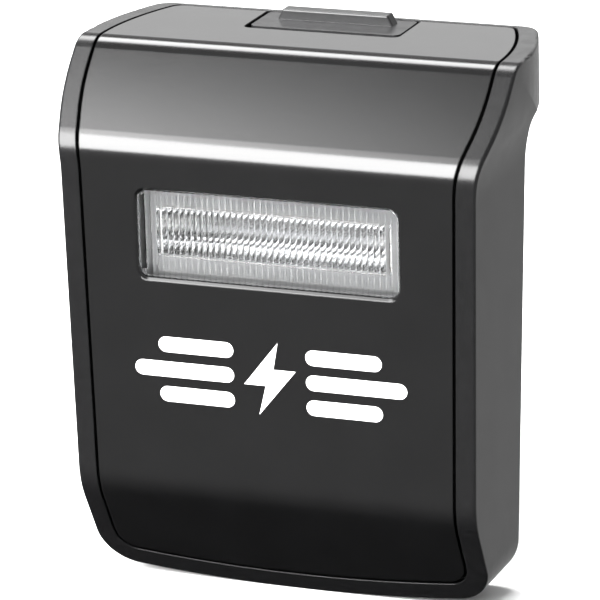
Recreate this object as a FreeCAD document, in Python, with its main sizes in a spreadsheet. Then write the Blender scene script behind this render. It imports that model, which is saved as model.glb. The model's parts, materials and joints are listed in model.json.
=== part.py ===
import math
import os
import re

import FreeCAD
import Part
import Sketcher

# A flash module that clips onto the front of a speedlight's body.
# Frame: seen from the front, +X is to the right. The face looks along -Y, and +Z is up.
# The origin is at the bottom centre of the whole object's box.
# In this file, "across" is X, "behind" is the distance back from the vertical front face, "up" is Z.

Vector = FreeCAD.Vector
doc = FreeCAD.newDocument("flash_module")

# ---------------------------------------------------------------- driving dimensions, in millimetres

SIZES = {
    # outer form
    "width_at_bend": 57.0, "height": 73.0, "depth": 31.3,
    "slope_run": 11.5, "bend_height": 61.8, "tuck_height": 14.8, "tuck_run": 8.0,
    "top_edge_radius": 4.2, "bend_radius": 5.0, "tuck_radius": 10.0,
    "side_taper": 0.9, "flare": 1.96, "flare_middle": 63.8, "flare_rise": 13.0,
    "bottom_arch_radius": 190.0, "bottom_corner_radius": 5.5,
    "straight_sides": 13.4, "plan_radius": 41.7, "plan_corner_radius": 3.0,
    "foot_back": 17.2, "shoulder_back": 20.1, "shoulder_height": 64.6, "shoulder_radius": 2.5,
    "edge_softening": 0.4, "outline_margin": 8.0, "overshoot": 1.0,
    # housing and panel
    "wall": 1.8, "border": 2.6, "rear_border": 1.0, "seam_gap": 0.45, "panel_thickness": 1.6,
    "ledge_width": 1.2, "ledge_thickness": 1.2, "seat_clearance": 0.05,
    "panel_corner_radius": 3.2, "panel_back_corner_radius": 1.6,
    # flash window
    "window_width": 35.8, "window_height": 11.8, "window_middle": 50.2, "window_radius": 1.3,
    "lens_recess": 0.4, "lens_clearance": 0.1, "lens_flange": 1.1, "lens_flange_thickness": 0.8,
    "rib_pitch": 0.8, "rib_depth": 0.22, "window_bevel": 0.35,
    # flash unit
    "gasket_thickness": 0.3, "sheet": 0.4, "mouth_width": 31.6, "mouth_height": 6.6,
    "trough_straight": 3.6, "trough_back_height": 5.4, "trough_arc": 1.02,
    "tube_radius": 1.5, "tube_wall": 0.4, "tube_behind": 6.4, "cap_length": 2.6,
    "electrode_radius": 1.0, "electrode_reach": 2.6, "sleeve_wall": 0.7, "sleeve_length": 2.2,
    "tube_clearance": 0.1,
    "carrier_wall": 1.4, "carrier_clearance": 0.2, "ear_spacing": 44.6,
    "ear_rise": 4.6, "ear_size": 4.6, "ear_root": 1.0, "ear_thickness": 1.6,
    "ear_behind": 4.6, "ear_screw_tip": 4.2,
    # screws, all self-tapping
    "screw_radius": 0.8, "screw_head_radius": 1.5, "screw_head_height": 1.0, "screw_clearance": 0.1,
    "boss_radius": 2.1, "slot_width": 0.5, "slot_length": 3.9, "slot_depth": 0.55,
    # circuit board
    "board_behind": 13.0, "board_thickness": 1.2, "board_width": 44.0, "board_bottom": 12.6,
    "board_top": 40.0, "board_screw_spacing": 38.0, "board_screw_low": 16.0, "board_screw_high": 37.0,
    "board_screw_tip": 4.0,
    "capacitor_radius": 5.2, "capacitor_length": 30.0, "capacitor_up": 33.4, "capacitor_behind": 7.5,
    "capacitor_across": 2.0, "capacitor_groove": 0.4, "capacitor_lead_spacing": 3.0,
    "capacitor_lead_radius": 0.3, "capacitor_lead_reach": 2.0, "capacitor_pad_length": 21.0,
    "coil_width": 8.4, "coil_height": 8.0, "coil_depth": 6.6, "coil_across": -13.0, "coil_up": 17.4,
    "transistor_width": 6.5, "transistor_height": 6.1, "transistor_depth": 2.3,
    "transistor_across": 12.0, "transistor_up": 18.0,
    "plug_width": 7.5, "plug_height": 4.6, "plug_depth": 4.0, "plug_across": 1.5, "plug_up": 18.0,
    "chip_width": 2.1, "chip_height": 1.2, "chip_depth": 0.9, "chip_pitch": 3.0, "chip_up": 26.2,
    "lead_radius": 0.45, "lead_across": 19.9,
    "lead_behind": 12.0, "lead_up": 39.4, "trigger_across": -14.6, "trigger_behind": 7.0,
    # contacts
    "block_width": 22.0, "block_height": 8.4, "block_up": 32.0, "block_behind": 20.2, "block_inside": 14.5,
    "block_step": 1.0, "block_clearance": 0.1,
    "pin_pitch": 4.2, "pin_radius": 0.8, "pin_bore_clearance": 0.05, "pin_collar_radius": 1.15,
    "pin_collar_length": 1.0, "pin_reach": 1.3, "pin_shoulder": 1.2, "pin_tip_round": 0.48,
    "pin_spring_wire": 0.2, "pin_spring_turns": 4, "pin_spring_radius": 0.95, "pin_stem_radius": 0.6,
    "pin_stem_length": 1.4,
    "pin_seat_thickness": 1.0, "pin_tail_radius": 0.4,
    # latch
    "latch_opening_width": 21.8, "latch_opening_front": 21.0, "latch_opening_radius": 1.0,
    "button_radius": 0.8, "button_side_gap": 0.45,
    "button_front_gap": 1.5, "button_back_gap": 0.15, "button_sink": 0.1, "button_thickness": 1.25,
    "rib_width": 16.4, "rib_back": 3.6, "rib_thickness": 2.1, "rib_height": 1.4, "rib_end_slope": 0.8, "rib_softening": 0.3,
    "slider_width": 29.0, "slider_front": 20.6, "slider_back": 28.1,
    "slider_thickness": 2.6, "slider_gap": 0.15, "tongue_width": 5.0, "tongue_spacing": 17.0,
    "tongue_thickness": 1.4, "tongue_reach": 1.4, "tongue_clearance": 0.12,
    "tongue_bevel": 0.8,
    "latch_screw_spacing": 9.0, "latch_screw_tip": 2.6, "latch_screw_sink": 1.2,
    "spring_across": 11.0, "spring_radius": 0.9, "spring_wire": 0.25, "spring_turns": 6,
    "spring_bore_depth": 3.0, "spring_clearance": 0.15,
    "guide_width": 43.0, "guide_front": 13.4, "guide_wall": 1.3, "guide_thickness": 1.0,
    "guide_screw_spacing": 38.4, "guide_screw_behind": 15.2, "guide_screw_tip": 4.2,
    # back
    "hook_width": 6.0, "hook_spacing": 26.0, "hook_up": 4.2, "hook_thickness": 2.0, "hook_reach": 2.4,
    "hook_lip": 1.4, "housing_screw_low": 8.2, "housing_screw_high": 43.0, "housing_screw_tip": 10.0,
    "post_meet_low": 10.5, "post_meet_high": 10.6,
    "housing_screw_spacing_low": 40.0, "housing_screw_spacing_high": 45.4, "screw_well_radius": 1.9,
    "screw_well_depth": 1.4, "rear_pad_width": 34.0, "rear_pad_height": 9.0, "rear_pad_middle": 19.0,
    "rear_pad_thickness": 0.6, "rear_pad_recess": 0.4, "rear_pad_clearance": 0.15,
}

sheet = doc.addObject("Spreadsheet::Sheet", "sizes")
for row, (alias, value) in enumerate(SIZES.items(), start=1):
    sheet.set(f"A{row}", alias)
    sheet.set(f"B{row}", str(value))
    sheet.setAlias(f"B{row}", alias)
doc.recompute()

# ---------------------------------------------------------------- places that several pieces share

FRONT = "(0 - (depth + tongue_reach)/2)"
PANEL_BACK = "panel_thickness"
PANEL_UNDER = "(height - panel_thickness)"
REAR_LEAN = "((shoulder_back - foot_back)/shoulder_height)"
HALF_BEND = "(width_at_bend/2)"
HALF_TOP = "(width_at_bend/2 + flare)"
GASKET_BACK = "(panel_thickness + lens_flange_thickness + gasket_thickness)"
BOARD_BACK = "(board_behind + board_thickness)"
SLIDER_TOP = "(height - panel_thickness - slider_gap)"
SLIDER_BOTTOM = "(height - panel_thickness - slider_gap - slider_thickness)"
BUTTON_UNDER = "(height - button_sink - button_thickness)"
BUTTON_BACK = "(depth - rear_border - button_back_gap)"
BUTTON_FRONT = "(latch_opening_front + button_front_gap)"
GUIDE_TOP = "(height - panel_thickness - 2*slider_gap - slider_thickness)"


def rear_wall(up):
    """How far behind the front face the slanted back is, at a height."""
    return f"(foot_back + {REAR_LEAN}*({up}))"


def bound(text):
    """An expression in plain size names, as the sheet knows them."""
    return re.sub(r"[a-z_]{3,}(?![a-z_(])", lambda word: "sizes." + word.group(), text)


def number(text):
    return float(sheet.evalExpression(bound(str(text))))


def bind(thing, prop, text):
    thing.setExpression(prop, bound(str(text)))


def place(thing, across, behind, up):
    bind(thing, "Placement.Base.x", across)
    bind(thing, "Placement.Base.y", f"{FRONT} + ({behind})")
    bind(thing, "Placement.Base.z", up)


def add(kind, name):
    return doc.addObject(kind, name)


# ---------------------------------------------------------------- building blocks

def block(name, width, length, rise, across=0, behind=0, up=0):
    """A box centred on `across`, starting at `behind` and `up`."""
    box = add("Part::Box", name)
    bind(box, "Length", width)
    bind(box, "Width", length)
    bind(box, "Height", rise)
    place(box, f"({across}) - ({width})/2", behind, up)
    return box


TURNS = {"X": FreeCAD.Rotation(Vector(0, 1, 0), 90), "Y": FreeCAD.Rotation(Vector(1, 0, 0), -90),
         "Z": FreeCAD.Rotation()}


def rod(name, radius, length, axis, across=0, behind=0, up=0):
    """A cylinder that starts at the point given and runs along +X, +Y or +Z."""
    cylinder = add("Part::Cylinder", name)
    bind(cylinder, "Radius", radius)
    bind(cylinder, "Height", length)
    cylinder.Placement.Rotation = TURNS[axis]
    place(cylinder, across, behind, up)
    return cylinder


def outline(name, turn, corners, across="0", behind="0", up="0"):
    """A closed sketch. A corner is (right, up) or (right, up, radius): an arc of that radius, bulging out to
    the right of the direction of travel, runs from it to the next corner. A minus sign bulges it left."""
    sketch = add("Sketcher::SketchObject", name)
    sketch.Placement.Rotation = turn
    place(sketch, across, behind, up)
    points = [Vector(number(c[0]), number(c[1]), 0) for c in corners]
    for i, corner in enumerate(corners):
        start, end = points[i], points[(i + 1) % len(points)]
        if len(corner) == 2:
            sketch.addGeometry(Part.LineSegment(start, end))
            continue
        radius = number(corner[2])
        chord = end - start
        out = Vector(chord.y, -chord.x, 0).normalize() * (1 if radius > 0 else -1)
        sag = abs(radius) - (radius ** 2 - (chord.Length / 2) ** 2) ** 0.5
        sketch.addGeometry(Part.Arc(start, (start + end) / 2 + out * sag, end))
    # A sketch arc always runs anticlockwise, so one that bulges left is stored from its end to its start.
    radii = [number(corner[2]) if len(corner) == 3 else 0 for corner in corners]
    first = [2 if radius < 0 else 1 for radius in radii]
    for i in range(len(corners)):
        after = (i + 1) % len(corners)
        sketch.addConstraint(Sketcher.Constraint("Coincident", i, 3 - first[i], after, first[after]))
    for i, (corner, radius) in enumerate(zip(corners, radii)):
        at = points[i]
        for kind, value, text in (("DistanceX", at.x, corner[0]), ("DistanceY", at.y, corner[1])):
            index = sketch.addConstraint(Sketcher.Constraint(kind, -1, 1, i, first[i], value))
            bind(sketch, f"Constraints[{index}]", text)
        if radius:
            index = sketch.addConstraint(Sketcher.Constraint("Radius", i, abs(radius)))
            bind(sketch, f"Constraints[{index}]", corner[2] if radius > 0 else f"0 - ({corner[2]})")
    return sketch


FACING_SIDE = FreeCAD.Rotation(Vector(1, 1, 1), 120)      # sketch right is +Y, sketch up is +Z
FACING_FRONT = FreeCAD.Rotation(Vector(1, 0, 0), 90)      # sketch right is +X, sketch up is +Z
FACING_UP = FreeCAD.Rotation()                            # sketch right is +X, sketch up is +Y


def prism(name, sketch, forward, backward="0"):
    """A sketch pushed out along its normal by `forward`, and the other way by `backward`."""
    solid = add("Part::Extrusion", name)
    solid.Base = sketch
    solid.DirMode = "Normal"
    solid.Solid = True
    bind(solid, "LengthFwd", forward)
    bind(solid, "LengthRev", backward)
    return solid


def inset(name, sketch, distance):
    """The same outline, moved inward."""
    offset = add("Part::Offset2D", name)
    offset.Source = sketch
    offset.Join = "Intersection"
    bind(offset, "Value", f"0 - ({distance})")
    return offset


def join(name, *things):
    fused = add("Part::MultiFuse", name)
    fused.Shapes = list(things)
    fused.Refine = True
    return fused


def overlap(name, *things):
    common = add("Part::MultiCommon", name)
    common.Shapes = list(things)
    return common


def less(name, base, *tools):
    tool = tools[0] if len(tools) == 1 else join(name + "_tools", *tools)
    cut = add("Part::Cut", name)
    cut.Base = base
    cut.Tool = tool
    return cut


def rounded(name, base, picks):
    """Fillets. picks is a list of (radius, test); test gets an edge and says whether it is rounded."""
    doc.recompute()
    fillet = add("Part::Fillet", name)
    fillet.Base = base
    edges = []
    for index, edge in enumerate(base.Shape.Edges, start=1):
        for radius, test in picks:
            if test(edge):
                edges.append((index, number(radius), number(radius)))
                break
    fillet.Edges = edges
    return fillet


def soften(name, base, radius, where):
    """Fillets on the edges where two faces meet at a clear angle. where gets an edge's middle point."""
    doc.recompute()
    faces = base.Shape.Faces

    def crease(edge):
        point = edge.valueAt((edge.FirstParameter + edge.LastParameter) / 2)
        sides = [face for face in faces if any(edge.isSame(other) for other in face.Edges)]
        normals = [face.normalAt(*face.Surface.parameter(point)) for face in sides]
        return len(normals) == 2 and normals[0].getAngle(normals[1]) > math.radians(50) and where(point)
    return rounded(name, base, [(radius, crease)])


def group(name, *things):
    """Separate solids that share one node."""
    compound = add("Part::Compound", name)
    compound.Links = list(things)
    return compound


def along(edge, direction):
    """Whether a straight edge runs along a direction."""
    return edge.Curve.TypeId == "Part::GeomLine" and abs(edge.Curve.Direction.dot(direction)) > 0.999


def middle(edge):
    return edge.BoundBox.Center


def screw(name, tip, towards, across, behind, up):
    """A pan-head self-tapping screw. (across, behind, up) is under its head, and it points `towards`."""
    crown, cross = "screw_head_height", "slot_length"
    axis = towards[1]
    spot = {"Y": behind, "Z": up}[axis]
    tip_start, head_start, slot_start = {
        "-": (f"({spot}) - ({tip})", spot, f"({spot}) + {crown} - slot_depth"),
        "+": (spot, f"({spot}) - {crown}", f"({spot}) - 2*{crown} + slot_depth")}[towards[0]]

    def at(start):
        return {"Y": (across, start, up), "Z": (across, behind, start)}[axis]

    blank = join(name + "_blank", rod(name + "_shank", "screw_radius", tip, axis, *at(tip_start)),
                 rod(name + "_head", "screw_head_radius", crown, axis, *at(head_start)))
    if axis == "Y":
        slots = [block(name + "_slot_a", cross, crown, "slot_width", across, slot_start, f"({up}) - slot_width/2"),
                 block(name + "_slot_b", "slot_width", crown, cross, across, slot_start, f"({up}) - {cross}/2")]
    else:
        slots = [block(name + "_slot_a", cross, "slot_width", crown, across, f"({behind}) - slot_width/2",
                       slot_start),
                 block(name + "_slot_b", "slot_width", cross, crown, across, f"({behind}) - {cross}/2",
                       slot_start)]
    return less(name, blank, *slots)


def spring(name, radius, wire, turns, length, across, behind, up):
    """A helical compression spring that runs back from the point given. radius is its outside radius."""
    body = add("PartDesign::Body", name)
    origin = {feature.Role: feature for feature in body.Origin.OriginFeatures}
    section = body.newObject("Sketcher::SketchObject", name + "_wire")
    section.AttachmentSupport = [(origin["XZ_Plane"], "")]
    section.MapMode = "FlatFace"
    centre = Vector(number(f"{radius} - {wire}/2"), number(f"{wire}/2"), 0)
    section.addGeometry(Part.Circle(centre, Vector(0, 0, 1), number(f"{wire}/2")))
    for kind, places, text in (("DistanceX", (-1, 1, 0, 3), f"{radius} - {wire}/2"),
                               ("DistanceY", (-1, 1, 0, 3), f"{wire}/2"), ("Radius", (0,), f"{wire}/2")):
        index = section.addConstraint(Sketcher.Constraint(kind, *places, number(text)))
        bind(section, f"Constraints[{index}]", text)
    coil = body.newObject("PartDesign::AdditiveHelix", name + "_coil")
    coil.Profile = section
    coil.ReferenceAxis = (section, ["V_Axis"])
    coil.Mode = "height-turns-angle"
    bind(coil, "Height", f"{length} - {wire}")
    bind(coil, "Turns", turns)
    body.Tip = coil
    body.Placement.Rotation = TURNS["Y"]
    place(body, across, behind, up)
    return body


def wire(name, radius, *points):
    """Round wire through points that differ along one axis at a time, with round corners."""
    lengths = []
    for i, (start, end) in enumerate(zip(points, points[1:])):
        axis = next(k for k in range(3) if start[k] != end[k])
        low, high = (start, end) if number(start[axis]) < number(end[axis]) else (end, start)
        lengths.append(rod(f"{name}_run_{i}", radius, f"({high[axis]}) - ({low[axis]})", "XYZ"[axis], *low))
    for i, point in enumerate(points[1:-1]):
        corner = add("Part::Sphere", f"{name}_corner_{i}")
        bind(corner, "Radius", radius)
        place(corner, *point)
        lengths.append(corner)
    return join(name, *lengths)


PIECES = {}


def piece(name, thing):
    """Gives a finished sub-part its label, which names its file."""
    thing.Label = name
    PIECES[name] = thing
    return thing


BOTH_SIDES = (("left", "(0 - 1)"), ("right", "1"))

# ---------------------------------------------------------------- outer form

HALF_FOOT = "(width_at_bend/2 - side_taper)"
FLARE_RADIUS = "((flare_rise^2 + flare^2)/(4*flare))"
PULL_IN = "(plan_radius - sqrt(plan_radius^2 - ({back} - straight_sides)^2))"


def front_outline(name, inset="0"):
    """Seen from the front: an arched foot, sides that taper down, and an S-shaped flare near the top."""
    foot, bend, high = f"({HALF_FOOT} - ({inset}))", f"(width_at_bend/2 - ({inset}))", f"({HALF_TOP} - ({inset}))"
    arch = f"(bottom_arch_radius - ({inset}))"
    arch_end = f"(bottom_arch_radius - sqrt({arch}^2 - {foot}^2))"
    low, top = "flare_middle - flare_rise/2", "height + outline_margin"
    outer_radius, inner_radius = f"({FLARE_RADIUS} + ({inset}))", f"({FLARE_RADIUS} - ({inset}))"
    turn_x = f"(width_at_bend/2 + {FLARE_RADIUS} - {outer_radius}*(1 - flare/2/{FLARE_RADIUS}))"
    turn_z = f"({low} + {outer_radius}*flare_rise/2/{FLARE_RADIUS})"
    return outline(name, FACING_FRONT, [
        (f"0 - {foot}", arch_end, arch), ("0", inset, arch), (foot, arch_end),
        (bend, low, f"0 - {outer_radius}"), (turn_x, turn_z, inner_radius), (high, f"{low} + flare_rise"),
        (high, top), (f"0 - {high}", top), (f"0 - {high}", f"{low} + flare_rise", inner_radius),
        (f"0 - {turn_x}", turn_z, f"0 - {outer_radius}"), (f"0 - {bend}", low)])


def side_outline():
    """Seen from the side: a tucked foot, an upright face, a slope, a flat top, and a back with a shoulder."""
    below = "(0 - outline_margin)"
    return outline("side_outline", FACING_SIDE, [
        (f"tuck_run*(1 - {below}/tuck_height)", below), (rear_wall(below), below),
        ("shoulder_back", "shoulder_height"), ("depth", "shoulder_height"), ("depth", "height"),
        ("slope_run", "height"), ("0", "bend_height"), ("0", "tuck_height")])


def plan_outline(name, back):
    """Seen from above: straight sides that curve inward towards the back."""
    narrow, start = f"({HALF_TOP} - {PULL_IN.format(back=back)})", "(0 - outline_margin)"
    return outline(name, FACING_UP, [
        (f"0 - {HALF_TOP}", start), (HALF_TOP, start), (HALF_TOP, "straight_sides", "plan_radius"),
        (narrow, back), (f"0 - {narrow}", back, "plan_radius"), (f"0 - {HALF_TOP}", "straight_sides")])


FRONT_OUTLINE = front_outline("front_outline")
SIDE_OUTLINE = side_outline()
PLAN_OUTLINE = plan_outline("plan_outline", "depth")
ZONE_OUTLINE = plan_outline("panel_plan_outline", "(depth + border - rear_border)")

across_all = "width_at_bend/2 + flare + outline_margin"
up_all = "height + outline_margin"


def lengthwise(name, sketch):
    """The front outline as a prism through the whole depth. The sketch's normal is -Y."""
    return prism(name, sketch, "outline_margin", "depth + outline_margin")


def front_corners(name, base, radius):
    def bottom_corner(edge):
        return along(edge, Vector(0, 1, 0)) and middle(edge).z < number("bottom_corner_radius*2")
    return rounded(name, base, [(radius, bottom_corner)])


def back_corners(name, base, radius, back):
    limit = number(f"{FRONT} + {back} - 0.5")

    def rear_corner(edge):
        return along(edge, Vector(0, 0, 1)) and middle(edge).y > limit
    return rounded(name, base, [(radius, rear_corner)])


def profile_corner(behind, up):
    """A test for the edge across the object that passes through one corner of the side outline."""
    spot_y, spot_z = number(f"{FRONT} + ({behind})"), number(up)

    def test(edge):
        centre = middle(edge)
        return along(edge, Vector(1, 0, 0)) and abs(centre.y - spot_y) < 0.01 and abs(centre.z - spot_z) < 0.01
    return test


side_form = rounded("side_form", prism("side_prism", SIDE_OUTLINE, across_all, across_all), [
    ("top_edge_radius", profile_corner("slope_run", "height")),
    ("bend_radius", profile_corner("0", "bend_height")),
    ("tuck_radius", profile_corner("0", "tuck_height")),
    ("shoulder_radius", profile_corner("shoulder_back", "shoulder_height")),
    ("edge_softening*2", profile_corner("depth", "shoulder_height"))])
front_form = front_corners("front_form", lengthwise("front_prism", FRONT_OUTLINE), "bottom_corner_radius")
plan_form = back_corners("plan_form", prism("plan_prism", PLAN_OUTLINE, up_all, "outline_margin"),
                         "plan_corner_radius", "depth")


def softened(point):
    """The creases of the back wall, under the shoulder and round the foot stay sharp."""
    ahead = point.y < number(f"{FRONT} + foot_back/2")
    above = point.z > number("shoulder_height + overshoot")
    return point.z > number("bottom_corner_radius") and (ahead or above)


outer_form = soften("outer_form", overlap("outer_blank", side_form, front_form, plan_form), "edge_softening",
                    softened)


def core(name, depth_in):
    """What lies deeper than `depth_in` below the face, the slope and the top."""
    inner = prism(name + "_prism", inset(name + "_outline", SIDE_OUTLINE, depth_in), across_all, across_all)
    back = block(name + "_back", f"2*({across_all})", "depth", f"height + 2*outline_margin - ({depth_in})", "0",
                 "(foot_back + slope_run)/2", "0 - 2*outline_margin")
    return join(name, inner, back)


def zone(name, border, corner, back_corner):
    """The column inside a border of the object's outlines, seen from the front and from above."""
    front = front_corners(name + "_front", lengthwise(name + "_front_prism", front_outline(
        name + "_front_outline", border)), corner)
    plan = back_corners(name + "_plan", prism(name + "_plan_prism", inset(
        name + "_plan_outline", ZONE_OUTLINE, border), up_all, "outline_margin"), back_corner,
        f"(depth + border - rear_border - ({border}))")
    return overlap(name, front, plan)


cavity = overlap(
    "cavity",
    prism("cavity_side", inset("cavity_side_outline", SIDE_OUTLINE, "panel_thickness + ledge_thickness"),
          across_all, across_all),
    lengthwise("cavity_front", front_outline("cavity_front_outline", "wall")),
    prism("cavity_plan", inset("cavity_plan_outline", PLAN_OUTLINE, "wall"), up_all, "outline_margin"))

# ---------------------------------------------------------------- screws, and the posts that take them


def housing_screw_places():
    for level, meet in (("low", "post_meet_low"), ("high", "post_meet_high")):
        for side, sign in BOTH_SIDES:
            yield f"{level}_{side}", f"{sign}*housing_screw_spacing_{level}/2", f"housing_screw_{level}", meet


def board_screw_places():
    for level in ("low", "high"):
        for side, sign in BOTH_SIDES:
            yield f"{level}_{side}", f"{sign}*board_screw_spacing/2", f"board_screw_{level}"


def head_seat(up):
    return f"({rear_wall(up)} - screw_well_depth)"


HOLE = "screw_radius + screw_clearance"
EAR_UP = "(window_middle + ear_rise)"

# ---------------------------------------------------------------- rear housing


def rear_housing():
    seat = less("panel_seat", zone("seat_zone", "border", "panel_corner_radius", "panel_back_corner_radius"),
                core("seat_core", "panel_thickness + seat_clearance"))
    ledge_hole = less("ledge_hole", zone("ledge_zone", "border + ledge_width",
                                         "panel_corner_radius - ledge_width", "panel_back_corner_radius/2"),
                      core("ledge_core", "panel_thickness + ledge_thickness + seat_clearance"))
    shell = less("shell", outer_form, cavity, seat, ledge_hole)
    added, removed = [], []
    for name, across, up, meet in housing_screw_places():
        length = f"{rear_wall(up)} - wall - ({meet})"
        added.append(rod("post_" + name, "boss_radius", length, "Y", across, meet, up))
        removed.append(rod("post_hole_" + name, HOLE, "depth", "Y", across, f"({meet}) - overshoot", up))
        removed.append(rod("well_" + name, "screw_well_radius", "depth", "Y", across, head_seat(up), up))
    for name, across, up in board_screw_places():
        length = f"{rear_wall(up)} - wall - {BOARD_BACK}"
        added.append(rod("standoff_" + name, "boss_radius", length, "Y", across, BOARD_BACK, up))
        removed.append(rod("standoff_hole_" + name, HOLE, "board_screw_tip", "Y", across,
                           f"{BOARD_BACK} - board_thickness", up))
    for side, sign in BOTH_SIDES:
        across = f"{sign}*hook_spacing/2"
        added.append(block("hook_arm_" + side, "hook_width", "wall + hook_reach", "hook_thickness", across,
                           f"{rear_wall('hook_up')} - wall", "hook_up"))
        added.append(block("hook_lip_" + side, "hook_width", "hook_lip", "hook_thickness + hook_lip", across,
                           f"{rear_wall('hook_up')} + hook_reach - hook_lip", "hook_up"))
        removed.append(block("tongue_slot_" + side, "tongue_width + 2*tongue_clearance", "depth",
                             "tongue_thickness + 2*tongue_clearance", f"{sign}*tongue_spacing/2",
                             "slider_back - overshoot", f"{SLIDER_BOTTOM} - tongue_clearance"))
    removed.append(block("block_hole", "block_width + 2*block_clearance", "depth",
                         "block_height + 2*block_clearance", "0", f"{BOARD_BACK} + overshoot",
                         "block_up - block_height/2 - block_clearance"))
    recess = rear_pad_box("pad_recess", "rear_pad_clearance", "depth")
    return less("rear_housing", join("housing_solid", shell, *added), *removed, recess)


def rear_pad_box(name, growth, thickness):
    """A box that leans with the slanted back and sits in its recess."""
    low = "(rear_pad_middle - rear_pad_height/2)"
    box = block(name, f"rear_pad_width + 2*{growth}", thickness, f"rear_pad_height + 2*{growth}", "0",
                f"{rear_wall(low)} - rear_pad_recess - {growth}*{REAR_LEAN}", f"{low} - {growth}")
    box.Placement.Rotation.Axis = Vector(1, 0, 0)
    bind(box, "Placement.Rotation.Angle", f"-1*atan({REAR_LEAN})")
    return box


piece("rear_housing", rear_housing())
piece("rear_pad", rear_pad_box("rear_pad", "0", "rear_pad_thickness"))
piece("housing_screws", group("housing_screws", *[
    screw("housing_screw_" + name, "housing_screw_tip", "-Y", across, head_seat(up), up)
    for name, across, up, meet in housing_screw_places()]))

# ---------------------------------------------------------------- front panel


def front_panel():
    skin = less("panel_skin", overlap("panel_blank", outer_form, zone(
        "panel_zone", "(border + seam_gap)", "panel_corner_radius - seam_gap", "panel_back_corner_radius")),
        core("panel_core", "panel_thickness"))
    posts, holes = [], []
    for name, across, up, meet in housing_screw_places():
        posts.append(rod("panel_post_" + name, "boss_radius", meet, "Y", across, "0", up))
        start = f"({head_seat(up)} - housing_screw_tip - screw_clearance)"
        holes.append(rod("panel_hole_" + name, HOLE, "depth", "Y", across, start, up))
    for side, sign in BOTH_SIDES:
        across = f"{sign}*ear_spacing/2"
        posts.append(rod("ear_post_" + side, "boss_radius", "ear_behind", "Y", across, "0", EAR_UP))
        holes.append(rod("ear_hole_" + side, HOLE, "ear_screw_tip", "Y", across,
                         "ear_behind + ear_thickness - ear_screw_tip - screw_clearance", EAR_UP))
        across = f"{sign}*guide_screw_spacing/2"
        posts.append(rod("guide_post_" + side, "boss_radius", f"height - {GUIDE_TOP}", "Z", across,
                         "guide_screw_behind", GUIDE_TOP))
        holes.append(rod("guide_hole_" + side, HOLE, "guide_screw_tip - guide_thickness + screw_clearance", "Z",
                         across, "guide_screw_behind", GUIDE_TOP))
    solid = join("panel_solid", skin, overlap("panel_posts", join("panel_post_set", *posts), outer_form))
    window = window_hole("window", "window_width", "window_height", "window_radius", "0 - overshoot",
                         "panel_thickness + 2*overshoot")
    opening = rounded("latch_opening", block("latch_opening_block", "latch_opening_width", "depth", "depth", "0",
                                             "latch_opening_front", PANEL_UNDER + " - overshoot"),
                      [("latch_opening_radius", lambda edge: along(edge, Vector(0, 0, 1)))])
    cut = less("panel_cut", solid, *holes, window, opening)
    return soften_window(cut)


def window_hole(name, width, height, radius, start, length):
    """A rounded rectangle centred on the window, pushed back from `start` by `length`."""
    box = block(name + "_block", width, length, height, "0", start, f"window_middle - ({height})/2")
    return rounded(name, box, [(radius, lambda edge: along(edge, Vector(0, 1, 0)))])


def soften_window(base):
    """The window's rim gets a small bevel."""
    doc.recompute()
    face = number(FRONT)
    half_width, half_height = number("window_width/2 + 0.01"), number("window_height/2 + 0.01")
    rim = []
    for index, edge in enumerate(base.Shape.Edges, start=1):
        box = edge.BoundBox
        flat = abs(box.YMin - face) < 0.001 and abs(box.YMax - face) < 0.001
        near = max(abs(box.XMin), abs(box.XMax)) < half_width and \
            max(abs(box.ZMin - number("window_middle")), abs(box.ZMax - number("window_middle"))) < half_height
        if flat and near:
            rim.append((index, number("window_bevel"), number("window_bevel")))
    bevel = add("Part::Chamfer", "front_panel")
    bevel.Base = base
    bevel.Edges = rim
    return bevel


piece("front_panel", front_panel())

# ---------------------------------------------------------------- flash window


def flash_lens():
    """A clear plate whose front is a row of upright half-round ribs, with a flange behind the panel."""
    width, rise = "(window_width - 2*lens_clearance)", "(window_height - 2*lens_clearance)"
    count = round(number(width) / number("rib_pitch"))
    pitch = f"({width}/{count})"
    rib_radius = f"(({pitch}/2)^2 + rib_depth^2)/(2*rib_depth)"
    valley = "(lens_recess + rib_depth)"
    back = f"({PANEL_BACK})"
    corners = [(f"0 - {width}/2 + {i}*{pitch}", valley, rib_radius) for i in range(count)]
    corners += [(f"{width}/2", valley), (f"{width}/2", back), (f"0 - {width}/2", back)]
    ribs = prism("lens_rib_prism", outline("lens_ribs", FACING_UP, corners, up=f"window_middle - {rise}/2"), rise)
    front = window_hole("lens_front", width, rise, "window_radius - lens_clearance", "0", "panel_thickness")
    flange = window_hole("lens_flange_plate", "window_width + 2*lens_flange", "window_height + 2*lens_flange",
                         "window_radius", PANEL_BACK, "lens_flange_thickness")
    return join("flash_lens", overlap("lens_window", ribs, front), flange)


def lens_gasket():
    start = f"({PANEL_BACK} + lens_flange_thickness)"
    outside = window_hole("gasket_outside", "window_width + 2*lens_flange", "window_height + 2*lens_flange",
                          "window_radius", start, "gasket_thickness")
    inside = window_hole("gasket_inside", "window_width + lens_flange", "window_height + lens_flange",
                         "window_radius", start, "gasket_thickness")
    return less("lens_gasket", outside, inside)


piece("flash_lens", flash_lens())
piece("lens_gasket", lens_gasket())

# ---------------------------------------------------------------- flash unit


def trough(name, extra, width):
    """The reflector's section, wider by `extra` all round, pushed out to both sides."""
    mouth, back = f"(mouth_height/2 + {extra})", f"(trough_back_height/2 + {extra})"
    section = outline(name + "_section", FACING_SIDE, [
        ("0", f"0 - {mouth}"), ("trough_straight", f"0 - {back}", f"{back}*trough_arc"), ("trough_straight", back),
        ("0", mouth)], behind=GASKET_BACK, up="window_middle")
    return prism(name, section, f"{width}/2", f"{width}/2")


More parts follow.
